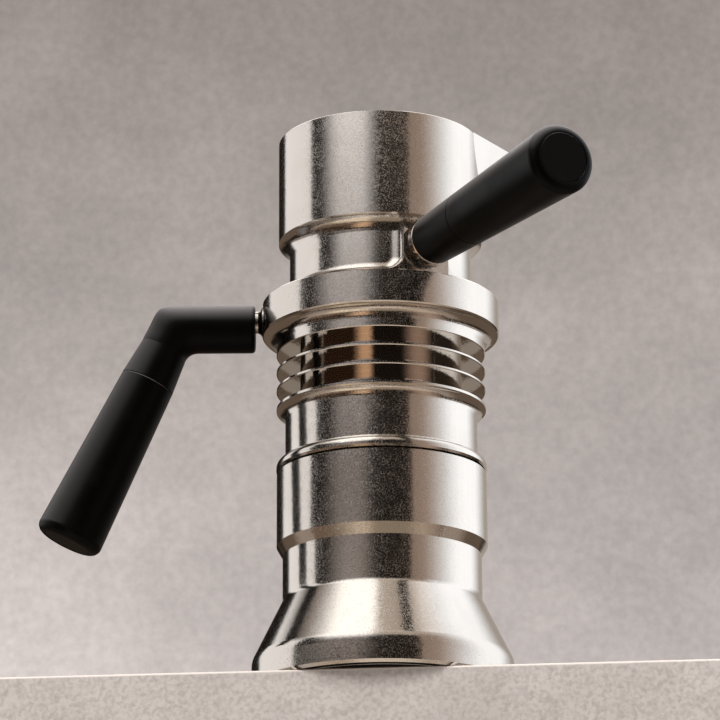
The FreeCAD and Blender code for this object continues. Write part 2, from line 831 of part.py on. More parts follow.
# The bend is lofted through ellipses in planes that fan out from the inner curve's centre
def elbow_bend():
    inner, outer = elbow_inner_round, elbow_outer_round
    setback = (elbow_radius + inner) * tan(slope / 2)
    pivot = in_plane(elbow_corner - setback, elbow_height - elbow_radius - inner)
    reach = elbow_diameter + inner
    crest = (reach - outer) / cos(slope / 2)
    round_start = slope / 2 - asin(outer * sin(slope / 2) / sqrt(
        crest ** 2 + outer ** 2 + 2 * crest * outer * cos(slope / 2)))
    sections = []
    for fraction in (0, 0.5, 1, None, 1, 0.5, 0):
        second_half = len(sections) > 3
        angle = slope / 2 if fraction is None else fraction * round_start
        off = slope / 2 - angle
        if angle <= round_start:
            far = reach / cos(angle)
        else:
            far = crest * cos(off) + sqrt(outer ** 2 - (crest * sin(off)) ** 2)
        turn = slope - angle if second_half else angle
        ray = in_plane(sin(turn), cos(turn))
        half = (far - inner) / 2
        centre = pivot + ray * (inner + half)
        crown = centre + ray * (max(half, elbow_radius) + hair)
        sections.append(Part.Wire(Part.Ellipse(crown, centre + Vector(0, elbow_radius, 0), centre).toShape()))
    return Part.makeLoft(sections, True, False), setback


def bent_elbow():
    bend, setback = elbow_bend()
    leg_length = elbow_corner - setback - elbow_start
    leg = turned([(0, 0), (elbow_radius, 0, elbow_start_round), (elbow_radius, leg_length), (0, leg_length)])
    leg = aimed(leg, in_plane(elbow_start, elbow_height), Vector(-1, 0, 0))
    end = grip_small_diameter / 2
    low_leg = turned([(0, setback), (elbow_radius, setback), (end, elbow_leg - handle_edge),
                      (end - handle_edge, elbow_leg), (0, elbow_leg)])
    low_leg = aimed(low_leg, in_plane(elbow_corner, elbow_height), slope_direction)
    radius = stud_diameter / 2 + bolt_clearance
    stud_hole = to_left(rod(radius, elbow_start - 1, elbow_start + elbow_hole_depth))
    bolt_hole = aimed(rod(radius, elbow_leg - elbow_hole_depth, elbow_leg + 1),
                      in_plane(elbow_corner, elbow_height), slope_direction)
    return leg.fuse([bend, low_leg]).cut([stud_hole, bolt_hole])


def bent_spacer():
    small, flare = spacer_diameter / 2, spacer_flare / 2
    hole = stud_diameter / 2 + bolt_clearance
    solid = turned([
        (hole, collar_radius - 2), (flare + 1, collar_radius - 2),
        (flare, collar_radius, 0, (small + (flare - small) * 0.3, collar_radius + spacer_length * 0.25)),
        (small, collar_radius + spacer_length * 0.6), (small, elbow_start), (hole, elbow_start)])
    return to_left(solid).cut(rod(collar_radius, collar_bottom - 1, collar_top + 1))


def bent_stud():
    return to_left(rod(stud_diameter / 2, bent_stud_end, elbow_start + elbow_hole_depth))


def bent_grip():
    return aimed(grip(), bent_seam, slope_direction)


def bent_end_cap():
    return aimed(end_cap(), bent_seam, slope_direction)


def bent_bolt():
    seat = grip_length - cap_thickness - grip_pocket_depth
    head = rod(bolt_head_diameter / 2, seat, seat + bolt_head_height)
    solid = rod(stud_diameter / 2, -elbow_hole_depth, seat).fuse(head)
    socket = hexagon(socket_width, seat + bolt_head_height / 2, seat + bolt_head_height + 1)
    return aimed(solid.cut(socket), bent_seam, slope_direction)


pieces = [
    base_boiler, base_floor, safety_valve_body, safety_valve_washer, safety_valve_pin, safety_valve_spring,
    safety_valve_cap, base_gasket, body_shell, bottom_plate, plate_seal, piston, piston_seals, valve_housing,
    valve_washer, valve_nut, valve_seat, valve_poppet, valve_spring, valve_adjuster, filter_basket,
    basket_floor, group_gasket, jug, jug_neck, top_screen, riser_tube, riser_cap, straight_spacer,
    straight_ferrule, straight_grip, straight_end_cap, straight_stud, straight_nut, bent_spacer, bent_elbow,
    bent_grip, bent_end_cap, bent_stud, bent_bolt]

os.makedirs("parts", exist_ok=True)
for piece in pieces:
    shape = piece()
    name = piece.__name__
    shape.exportStep("parts/" + name + ".step")
    print(name, "solids", len(shape.Solids), "valid", shape.isValid(), "volume", round(shape.Volume, 1))
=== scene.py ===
from math import atan2, cos, pi, radians, sin

import bpy
import numpy as np
from mathutils import Matrix, Vector


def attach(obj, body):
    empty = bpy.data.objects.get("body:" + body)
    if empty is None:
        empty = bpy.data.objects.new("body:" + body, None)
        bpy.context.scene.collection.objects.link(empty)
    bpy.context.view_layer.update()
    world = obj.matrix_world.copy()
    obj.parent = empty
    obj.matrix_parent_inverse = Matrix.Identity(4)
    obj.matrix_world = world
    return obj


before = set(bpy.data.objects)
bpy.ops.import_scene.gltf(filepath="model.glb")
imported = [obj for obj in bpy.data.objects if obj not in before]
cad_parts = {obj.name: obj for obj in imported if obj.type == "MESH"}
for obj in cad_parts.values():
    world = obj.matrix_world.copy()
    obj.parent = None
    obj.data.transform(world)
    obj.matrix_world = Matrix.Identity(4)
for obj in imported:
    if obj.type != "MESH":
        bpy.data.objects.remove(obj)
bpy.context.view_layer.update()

mm = 0.001


# Camera, from below the front edge of the slab
cameraSettings = {
    "place": (0, -1219.38 * mm, -262.53 * mm),
    "pitch": 17.3695,     # degrees above the horizon
    "turn": 0.34673,      # degrees to the left
    "roll": 0.29478,
    "lens": 180.667,
    "sensor": 36.0,
    "nearest": 0.05,
    "farthest": 50,
}


def addCamera(s):
    pitch, turn, roll = radians(s["pitch"]), radians(-s["turn"]), radians(s["roll"])
    ahead = Vector((sin(turn) * cos(pitch), cos(turn) * cos(pitch), sin(pitch)))
    right = ahead.cross(Vector((0, 0, 1))).normalized()
    top = right.cross(ahead)
    side = right * cos(-roll) + top * sin(-roll)
    over = top * cos(-roll) - right * sin(-roll)
    data = bpy.data.cameras.new("photoCamera")
    data.lens, data.sensor_width = s["lens"], s["sensor"]
    data.clip_start, data.clip_end = s["nearest"], s["farthest"]
    camera = bpy.data.objects.new("photoCamera", data)
    camera.matrix_world = Matrix((
        (side.x, over.x, -ahead.x, s["place"][0]),
        (side.y, over.y, -ahead.y, s["place"][1]),
        (side.z, over.z, -ahead.z, s["place"][2]),
        (0, 0, 0, 1)))
    bpy.context.scene.collection.objects.link(camera)
    bpy.context.scene.camera = camera


addCamera(cameraSettings)
print("camera in place")


# Helpers for meshes and node trees
def addMesh(name, points, faces, smooth=True):
    mesh = bpy.data.meshes.new(name)
    mesh.from_pydata([tuple(p) for p in points], [], faces)
    mesh.validate()
    if smooth:
        mesh.shade_smooth()
    else:
        mesh.shade_flat()
    piece = bpy.data.objects.new(name, mesh)
    bpy.context.scene.collection.objects.link(piece)
    return piece


def addNode(tree, kind, **settings):
    made = tree.nodes.new("ShaderNode" + kind)
    for name, value in settings.items():
        setattr(made, name, value)
    return made


def feed(tree, socket, value):
    if isinstance(value, (int, float)):
        socket.default_value = value
    elif isinstance(value, tuple):
        socket.default_value = (*value, 1) if socket.type == "RGBA" else value
    else:
        tree.links.new(value, socket)


def mathNode(tree, operation, first, second=None):
    made = addNode(tree, "Math", operation=operation)
    feed(tree, made.inputs[0], first)
    if second is not None:
        feed(tree, made.inputs[1], second)
    return made.outputs[0]


def vectorNode(tree, operation, first, second):
    made = addNode(tree, "VectorMath", operation=operation)
    feed(tree, made.inputs[0], first)
    feed(tree, made.inputs["Scale"] if operation == "SCALE" else made.inputs[1], second)
    return made


def rangeNode(tree, value, fromRange, toRange=(0.0, 1.0), smooth=False):
    made = addNode(tree, "MapRange", interpolation_type="SMOOTHSTEP" if smooth else "LINEAR")
    feed(tree, made.inputs["Value"], value)
    for label, number in zip(("From Min", "From Max", "To Min", "To Max"), (*fromRange, *toRange)):
        feed(tree, made.inputs[label], number)
    return made.outputs["Result"]


def mixColour(tree, share, first, second):
    made = addNode(tree, "Mix", data_type="RGBA")
    for socket, value in ((made.inputs[0], share), (made.inputs[6], first), (made.inputs[7], second)):
        feed(tree, socket, value)
    return made.outputs[2]


def noiseNode(tree, place, scale, **levels):
    made = addNode(tree, "TexNoise", noise_dimensions="3D")
    feed(tree, made.inputs["Vector"], place)
    feed(tree, made.inputs["Scale"], scale)
    for label, value in levels.items():
        feed(tree, made.inputs[label], value)
    return made.outputs["Fac"]


def objectPlace(tree):
    return addNode(tree, "TexCoord").outputs["Object"]


def surfaceNormal(tree):
    return addNode(tree, "NewGeometry").outputs["Normal"]


def splitNode(tree, vector):
    made = addNode(tree, "SeparateXYZ")
    feed(tree, made.inputs[0], vector)
    return made.outputs


def reachNode(tree, x, y):
    squares = [mathNode(tree, "MULTIPLY", value, value) for value in (x, y)]
    return mathNode(tree, "SQRT", mathNode(tree, "ADD", *squares))


# The scale of a texture whose features are as many mm across as the given size
def scaleOf(tree, size):
    return mathNode(tree, "DIVIDE", 1 / mm, size)


def newGroup(name, inputs, outputs):
    tree = bpy.data.node_groups.new(name, "ShaderNodeTree")
    for label in inputs:
        tree.interface.new_socket(label, in_out="INPUT", socket_type="NodeSocketFloat")
    for label, kind in outputs.items():
        tree.interface.new_socket(label, in_out="OUTPUT", socket_type="NodeSocket" + kind)
    return tree, tree.nodes.new("NodeGroupInput").outputs, tree.nodes.new("NodeGroupOutput").inputs


def useGroup(tree, group, **values):
    made = addNode(tree, "Group", node_tree=group)
    for label, value in values.items():
        made.inputs[label].default_value = value
    return made.outputs


# Satin grain: fine specks, some polished and some matt, gathered in soft clouds on tiny tilted facets
satinGrainSettings = {
    "speckDetail": 2.0,
    "speckRoughness": 0.8,
    "speckRange": (0.45, 0.72),
    "cloudDetail": 3.0,
    "cloudRange": (0.3, 0.7),
    "cloudShare": (0.5, 1.0),
}


def makeSatinGrain(s):
    tree, inside, out = newGroup("satinGrain", ("Size", "Tilt", "Cloud"),
                                 {"Value": "Float", "Normal": "Vector"})
    place = objectPlace(tree)
    scale = scaleOf(tree, inside["Size"])
    cells = addNode(tree, "TexVoronoi", voronoi_dimensions="3D", feature="F1")
    feed(tree, cells.inputs["Vector"], place)
    feed(tree, cells.inputs["Scale"], scale)
    fine = noiseNode(tree, place, scale, Detail=s["speckDetail"], Roughness=s["speckRoughness"])
    clouds = noiseNode(tree, place, scaleOf(tree, inside["Cloud"]), Detail=s["cloudDetail"])
    speck = rangeNode(tree, fine, s["speckRange"])
    cloud = rangeNode(tree, clouds, s["cloudRange"], s["cloudShare"])
    feed(tree, out["Value"], mathNode(tree, "MULTIPLY", speck, cloud))
    split = addNode(tree, "SeparateColor")
    feed(tree, split.inputs[0], cells.outputs["Color"])
    centred = vectorNode(tree, "SUBTRACT", cells.outputs["Color"], (0.5, 0.5, 0.5)).outputs[0]
    tilt = mathNode(tree, "MULTIPLY", split.outputs[1], inside["Tilt"])
    lean = vectorNode(tree, "SCALE", centred, tilt).outputs[0]
    feed(tree, out["Normal"], vectorNode(tree, "ADD", surfaceNormal(tree), lean).outputs[0])
    return tree


# Bead-blasted grain: soft pits a fraction of a millimetre across
blastedGrainSettings = {
    "detail": 2.0,
    "softness": 0.5,
    "range": (0.3, 0.7),
}


def makeBlastedGrain(s):
    tree, inside, out = newGroup("blastedGrain", ("Size",), {"Height": "Float"})
    pits = noiseNode(tree, objectPlace(tree), scaleOf(tree, inside["Size"]),
                     Detail=s["detail"], Roughness=s["softness"])
    feed(tree, out["Height"], rangeNode(tree, pits, s["range"]))
    return tree


# Rings that a lathe leaves round the Z axis, broken up a little along their length
latheRingSettings = {
    "stretch": 0.0006,     # how far a full radian of turning counts, in metres
    "detail": 1.0,
}


def makeLatheRings(s):
    tree, inside, out = newGroup("latheRings", ("Pitch",), {"Height": "Float"})
    x, y, z = splitNode(tree, objectPlace(tree))
    turn = mathNode(tree, "MULTIPLY", mathNode(tree, "ARCTAN2", y, x), s["stretch"])
    join = addNode(tree, "CombineXYZ")
    for socket, value in zip(join.inputs, (reachNode(tree, x, y), turn, z)):
        feed(tree, socket, value)
    rings = noiseNode(tree, join.outputs[0], scaleOf(tree, inside["Pitch"]), Detail=s["detail"])
    feed(tree, out["Height"], rings)
    return tree


# Smears and finger marks, large and uneven
handlingSettings = {
    "detail": 4.0,
    "distortion": 0.6,
    "range": (0.42, 0.68),
}


def makeHandling(s):
    tree, inside, out = newGroup("handlingMarks", ("Size", "Amount"), {"Mask": "Float"})
    broad = noiseNode(tree, objectPlace(tree), scaleOf(tree, inside["Size"]),
                      Detail=s["detail"], Distortion=s["distortion"])
    mask = rangeNode(tree, broad, s["range"], smooth=True)
    feed(tree, out["Mask"], mathNode(tree, "MULTIPLY", mask, inside["Amount"]))
    return tree


# The turned grooves between the fins: a mask by height and by reach from the axis, both in mm
def makeTurnedZone():
    tree, inside, out = newGroup("turnedZone", ("Low", "High", "Reach"), {"Mask": "Float"})
    x, y, z = splitNode(tree, objectPlace(tree))
    low, high, reach = [mathNode(tree, "MULTIPLY", inside[label], mm) for label in ("Low", "High", "Reach")]
    above = mathNode(tree, "GREATER_THAN", z, low)
    below = mathNode(tree, "LESS_THAN", z, high)
    within = mathNode(tree, "LESS_THAN", reachNode(tree, x, y), reach)
    feed(tree, out["Mask"], mathNode(tree, "MULTIPLY", mathNode(tree, "MULTIPLY", above, below), within))
    return tree


# Dust on whatever faces up, and a painted highlight there from the light above: it grows between two upward
# parts of the normal
dustAndSheenSettings = {
    "power": 1.6,
}


def makeDustAndTopSheen(s):
    tree, inside, out = newGroup("dustAndTopSheen", ("From", "To"), {"Mask": "Float"})
    upward = splitNode(tree, surfaceNormal(tree))["Z"]
    mask = rangeNode(tree, upward, (inside["From"], inside["To"]))
    feed(tree, out["Mask"], mathNode(tree, "POWER", mask, s["power"]))
    return tree


# Sharp edges polished bright: a rounded normal and a mask that is 1 on the edge
edgeWearSettings = {
    "samples": 4,
    "range": (0.005, 0.12),
}


def makeEdgeWear(s):
    tree, inside, out = newGroup("edgeWear", ("Radius",), {"Mask": "Float", "Normal": "Vector"})
    bevel = addNode(tree, "Bevel", samples=s["samples"])
    feed(tree, bevel.inputs["Radius"], mathNode(tree, "MULTIPLY", inside["Radius"], mm))
    dot = vectorNode(tree, "DOT_PRODUCT", bevel.outputs[0], surfaceNormal(tree)).outputs["Value"]
    feed(tree, out["Mask"], rangeNode(tree, mathNode(tree, "SUBTRACT", 1.0, dot), s["range"]))
    feed(tree, out["Normal"], bevel.outputs[0])
    return tree


satinGrain = makeSatinGrain(satinGrainSettings)
blastedGrain = makeBlastedGrain(blastedGrainSettings)
latheRings = makeLatheRings(latheRingSettings)
handlingMarks = makeHandling(handlingSettings)
turnedZone = makeTurnedZone()
dustAndTopSheen = makeDustAndTopSheen(dustAndSheenSettings)
edgeWear = makeEdgeWear(edgeWearSettings)
print("shared effects built")


def addBump(tree, height, normal, strength, distance):
    bump = addNode(tree, "Bump")
    feed(tree, bump.inputs["Strength"], strength)
    feed(tree, bump.inputs["Distance"], distance * mm)
    feed(tree, bump.inputs["Height"], height)
    if normal:
        feed(tree, bump.inputs["Normal"], normal)
    return bump.outputs[0]


def newMaterial(name):
    material = bpy.data.materials.new(name)
    material.use_nodes = True
    tree = material.node_tree
    return material, tree, tree.nodes["Principled BSDF"]


# Metals: the grain shows least where the surface is seen at a slant, and edges are polished
metalSettings = {
    "slantRange": (0.22, 0.5),
    "slantGrain": (1, 0.25),
    "edgePolish": 0.8,
    "turnedGrain": 0.08,
    "turnedPolish": 0.6,
}


def makeMetal(name, s, common=metalSettings):
    material, tree, shader = newMaterial(name)
    grain = useGroup(tree, satinGrain, Size=s["grainSize"], Tilt=s["grainTilt"], Cloud=s["grainCloud"])
    rings = useGroup(tree, latheRings, Pitch=s["ringPitch"])["Height"]
    marks = useGroup(tree, handlingMarks, Size=s["markSize"], Amount=s["markAmount"])["Mask"]
    edge = useGroup(tree, edgeWear, Radius=s["edgeRadius"])["Mask"]
    tinted = mixColour(tree, marks, s["colour"], s["markColour"])
    feed(tree, shader.inputs["Base Color"], mixColour(tree, edge, tinted, s["edgeColour"]))
    facing = addNode(tree, "LayerWeight").outputs["Facing"]
    shown = rangeNode(tree, facing, common["slantRange"], common["slantGrain"])
    speck = mathNode(tree, "MULTIPLY", grain["Value"], shown)
    polish = 1.0
    if "turned" in s:
        turned = useGroup(tree, turnedZone, **s["turned"])["Mask"]
        smooth = rangeNode(tree, turned, (0, 1), (1, common["turnedGrain"]))
        speck = mathNode(tree, "MULTIPLY", speck, smooth)
        polish = rangeNode(tree, turned, (0, 1), (1, common["turnedPolish"]))
    rough = rangeNode(tree, speck, (0, 1), (s["roughness"], s["grainRoughness"]))
    rough = mathNode(tree, "MULTIPLY", rough, polish)
    rough = mathNode(tree, "ADD", rough, mathNode(tree, "MULTIPLY", marks, s["markRoughness"]))
    rough = mathNode(tree, "MULTIPLY", rough, rangeNode(tree, edge, (0, 1), (1, common["edgePolish"])))
    feed(tree, shader.inputs["Roughness"], rough)
    normal = addBump(tree, rings, grain["Normal"], s["ringStrength"], s["ringDepth"])
    feed(tree, shader.inputs["Normal"], normal)
    shader.inputs["Metallic"].default_value = 1.0
    return material


satinNickel = makeMetal("satinNickel", {
    "colour": (0.66, 0.615, 0.565),
    "markColour": (0.60, 0.55, 0.50),
    "edgeColour": (0.80, 0.76, 0.71),
    "roughness": 0.105,
    "grainRoughness": 0.58,
    "markRoughness": 0.04,
    "markSize": 24.0,
    "markAmount": 0.5,
    "grainSize": 0.46,
    "grainTilt": 0.04,
    "grainCloud": 4.0,
    "ringPitch": 0.3,
    "ringStrength": 0.12,
    "ringDepth": 0.02,
    "edgeRadius": 0.25,
    "turned": {"Low": 99.2, "High": 127.0, "Reach": 36.3},
})

brightSteel = makeMetal("brightSteel", {
    "colour": (0.67, 0.665, 0.655),
    "markColour": (0.60, 0.59, 0.57),
    "edgeColour": (0.82, 0.82, 0.81),
    "roughness": 0.15,
    "grainRoughness": 0.30,
    "markRoughness": 0.06,
    "markSize": 14.0,
    "markAmount": 0.4,
    "grainSize": 0.3,
    "grainTilt": 0.05,
    "grainCloud": 4.0,
    "ringPitch": 0.22,
    "ringStrength": 0.25,
    "ringDepth": 0.02,
    "edgeRadius": 0.15,
})


# Moulded grips and seals: matt, marked by handling, and lighter on top with dust and a painted highlight
def makeMoulded(name, s):
    material, tree, shader = newMaterial(name)
    grain = useGroup(tree, blastedGrain, Size=s["grainSize"])["Height"]
    marks = useGroup(tree, handlingMarks, Size=s["markSize"], Amount=s["markAmount"])["Mask"]
    edge = useGroup(tree, edgeWear, Radius=s["edgeRadius"])
    dustSheen = useGroup(tree, dustAndTopSheen, From=s["dustSheenFrom"], To=s["dustSheenTo"])["Mask"]
    tinted = mixColour(tree, marks, s["colour"], s["markColour"])
    tinted = mixColour(tree, edge["Mask"], tinted, s["edgeColour"])
    # Upward faces turn lighter: dust and a painted highlight from above
    feed(tree, shader.inputs["Base Color"], mixColour(tree, dustSheen, tinted, s["dustSheenColour"]))
    rough = mathNode(tree, "ADD", mathNode(tree, "MULTIPLY", marks, s["markRoughness"]), s["roughness"])
    feed(tree, shader.inputs["Roughness"], rough)
    normal = addBump(tree, grain, edge["Normal"], s["grainStrength"], s["grainDepth"])
    feed(tree, shader.inputs["Normal"], normal)
    shader.inputs["Specular IOR Level"].default_value = s["specular"]
    return material


blackGrip = makeMoulded("blackGrip", {
    "colour": (0.0005, 0.0005, 0.0005),
    "markColour": (0.0015, 0.0013, 0.0013),
    "edgeColour": (0.004, 0.004, 0.004),
    # Upward faces turn grey: dust and a painted highlight from above
    "dustSheenColour": (0.20, 0.195, 0.20),
    "dustSheenFrom": 0.05,
    "dustSheenTo": 0.75,
    "roughness": 0.40,
    "markRoughness": 0.10,
    "markSize": 16.0,
    "markAmount": 0.6,
    "grainSize": 0.35,
    "grainStrength": 0.25,
    "grainDepth": 0.03,
    "edgeRadius": 0.2,
    "specular": 0.10,
})

sealRubber = makeMoulded("sealRubber", {
    "colour": (0.46, 0.105, 0.062),
    "markColour": (0.36, 0.085, 0.055),
    "edgeColour": (0.55, 0.15, 0.09),
    # Upward faces turn lighter: dust and a painted highlight from above
    "dustSheenColour": (0.48, 0.13, 0.085),
    "dustSheenFrom": 0.05,
    "dustSheenTo": 0.75,
    "roughness": 0.55,
    "markRoughness": 0.12,
    "markSize": 10.0,
    "markAmount": 0.7,
    "grainSize": 0.5,
    "grainStrength": 0.2,
    "grainDepth": 0.02,
    "edgeRadius": 0.2,
    "specular": 0.35,
})

finishes = {
    "satin_nickel": satinNickel,
    "bright_steel": brightSteel,
    "black_grip": blackGrip,
    "seal_rubber": sealRubber,
}
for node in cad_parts.values():
    for slot in node.material_slots:
        slot.material = finishes[slot.material.name.split(".")[0]]
print("finishes on all CAD pieces")


# Screw threads: right-handed ridges on the plain skirts and bore of the CAD, in mm
threadForm = {
    "rootHalf": 0.27,      # half widths of root and crest, as shares of the pitch
    "crestHalf": 0.08,
    "perTurn": 96,
    "runOut": 0.12,        # the part of a turn over which the ridge sinks into the wall at its ends
    "endShare": 0.05,
}
threadSettings = [
    {"name": "bodyThread", "body": "body_unit", "pitch": 3.0,
     "root": 32.50, "crest": 33.45, "low": 59.2, "high": 75.8},
    {"name": "boilerThread", "body": "base_unit", "pitch": 3.0,
     "root": 33.80, "crest": 32.85, "low": 60.7, "high": 75.1},
    {"name": "jugThread", "body": "jug_unit", "pitch": 2.5,
     "root": 33.05, "crest": 34.00, "low": 129.4, "high": 138.2},
]


def addThread(s, form):
    turns = (s["high"] - s["low"]) / s["pitch"]
    steps = int(turns * form["perTurn"])
    points = []
    for i in range(steps + 1):
        turn = turns * i / steps
        angle = 2 * pi * turn
        height = s["low"] + s["pitch"] * turn
        full = min(1, turn / form["runOut"], (turns - turn) / form["runOut"])
        rise = form["endShare"] + (1 - form["endShare"]) * full
        crest = s["root"] + (s["crest"] - s["root"]) * rise
        corners = ((s["root"], -form["rootHalf"]), (crest, -form["crestHalf"]),
                   (crest, form["crestHalf"]), (s["root"], form["rootHalf"]))
        for radius, share in corners:
            level = height + share * s["pitch"]
            points.append((radius * cos(angle) * mm, radius * sin(angle) * mm, level * mm))
    last = 4 * steps
    faces = [(4 * i + k, 4 * i + (k + 1) % 4, 4 * i + (k + 1) % 4 + 4, 4 * i + k + 4)
             for i in range(steps) for k in range(4)]
    faces += [(3, 2, 1, 0), (last, last + 1, last + 2, last + 3)]
    if s["crest"] < s["root"]:
        faces = [face[::-1] for face in faces]
    thread = addMesh(s["name"], points, faces, smooth=False)
    thread.data.materials.append(satinNickel)
    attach(thread, s["body"])


for settings in threadSettings:
    addThread(settings, threadForm)
print("threads cut:", len(threadSettings))


# Concrete slab that the maker stands on: its front edge is just behind the front of the foot
slabSettings = {
    "edgeAt": -36.2 * mm,      # where the front edge crosses the centre line
    "edgeSlope": -0.0893,
    "thickness": 60 * mm,
    "depth": 2.6,
    "halfWidth": 2.6,
    "edgeRound": 0.8 * mm,
    "roundShare": 0.3,
    "colour": (0.60, 0.575, 0.55),
    "darkColour": (0.33, 0.305, 0.285),
    "fineScale": 620,
    "fineDetail": 4,
    "fineDistortion": 0.4,
    "fineRange": (0.30, 0.60),
    "fineShare": (0.38, 1.0),
    "broadScale": 24,
    "broadDetail": 6,
    "broadRange": (0.32, 0.62),
    "broadShare": (0.62, 1.0),
    "rimHighlightColour": (0.98, 0.92, 0.87),          # a painted highlight along the front edge, paler than the rest
    "rimHighlightHeight": (-1.0 * mm, -0.3 * mm),
    "rimHighlightUpright": (0.94, 0.98),
    "bumpStrength": 0.3,
    "bumpDepth": 0.15,
    "roughness": 0.85,
    "specular": 0.2,
}


def slabEdge(x):
    return slabSettings["edgeAt"] + slabSettings["edgeSlope"] * x


def makeConcrete(s):
    material, tree, shader = newMaterial("concrete")
    place = objectPlace(tree)
    fine = noiseNode(tree, place, s["fineScale"], Detail=s["fineDetail"], Distortion=s["fineDistortion"])
    broad = noiseNode(tree, place, s["broadScale"], Detail=s["broadDetail"])
    shade = mathNode(tree, "MULTIPLY", rangeNode(tree, broad, s["broadRange"], s["broadShare"]),
                     rangeNode(tree, fine, s["fineRange"], s["fineShare"]))
    worn = mixColour(tree, shade, s["darkColour"], s["colour"])
    # A painted highlight along the top of the front edge, on faces that don't look up
    high = rangeNode(tree, splitNode(tree, place)["Z"], s["rimHighlightHeight"])
    upright = rangeNode(tree, splitNode(tree, surfaceNormal(tree))["Z"], s["rimHighlightUpright"], (1, 0))
    rimHighlight = mathNode(tree, "MULTIPLY", high, upright)
    feed(tree, shader.inputs["Base Color"], mixColour(tree, rimHighlight, worn, s["rimHighlightColour"]))
    feed(tree, shader.inputs["Normal"], addBump(tree, fine, None, s["bumpStrength"], s["bumpDepth"]))
    shader.inputs["Roughness"].default_value = s["roughness"]
    shader.inputs["Specular IOR Level"].default_value = s["specular"]
    return material


def addSlab(s):
    turn = atan2(s["edgeSlope"], 1)
    along, back = Vector((cos(turn), sin(turn), 0)), Vector((-sin(turn), cos(turn), 0))
    corner = Vector((0, s["edgeAt"], 0))
    worn, inset = s["edgeRound"], s["edgeRound"] * s["roundShare"]
    profile = [(0, -s["thickness"]), (0, -worn), (inset, -inset), (worn, 0), (s["depth"], 0),
               (s["depth"], -s["thickness"])]
    points = [corner + along * (end * s["halfWidth"]) + back * far + Vector((0, 0, height))
              for end in (-1, 1) for far, height in profile]
    count = len(profile)
    faces = [(i, (i + 1) % count, count + (i + 1) % count, count + i) for i in range(count)]
    faces += [tuple(reversed(range(count))), tuple(range(count, 2 * count))]
    slab = addMesh("slab", points, [tuple(reversed(face)) for face in faces], smooth=False)
    slab.data.materials.append(makeConcrete(s))


addSlab(slabSettings)
print("slab laid")


# Glowing cards: coloured point by point and seen in reflections only
def makeCardGlow():
    material, tree, shader = newMaterial("cardGlow")
    tree.nodes.remove(shader)
    glow = addNode(tree, "Emission")
    paint = addNode(tree, "VertexColor", layer_name="card")
    feed(tree, glow.inputs["Color"], paint.outputs["Color"])
    feed(tree, tree.nodes["Material Output"].inputs["Surface"], glow.outputs[0])
    return material


cardGlow = makeCardGlow()


def addCard(name, points, faces, colours):
    card = addMesh(name, points.reshape(-1, 3), faces)
    paint = card.data.color_attributes.new("card", "FLOAT_COLOR", "POINT")
    full = np.concatenate([colours, np.ones((*colours.shape[:-1], 1))], -1)
    paint.data.foreach_set("color", full.astype(np.float32).ravel())
    card.data.materials.append(cardGlow)
    card.visible_camera = False
    card.visible_diffuse = False
    card.visible_shadow = False
    return card


# Cards painted on a dome round the maker, for its reflections only
surroundSettings = {
    "radius": 0.8,
    "centre": 0.1,
    "dark": (0.012, 0.009, 0.007),
    "around": 900,
    "up": 260,
    "lowest": -85,
    "foldCount": 61,
    "foldSway": 23,
    "foldReach": 2,
}
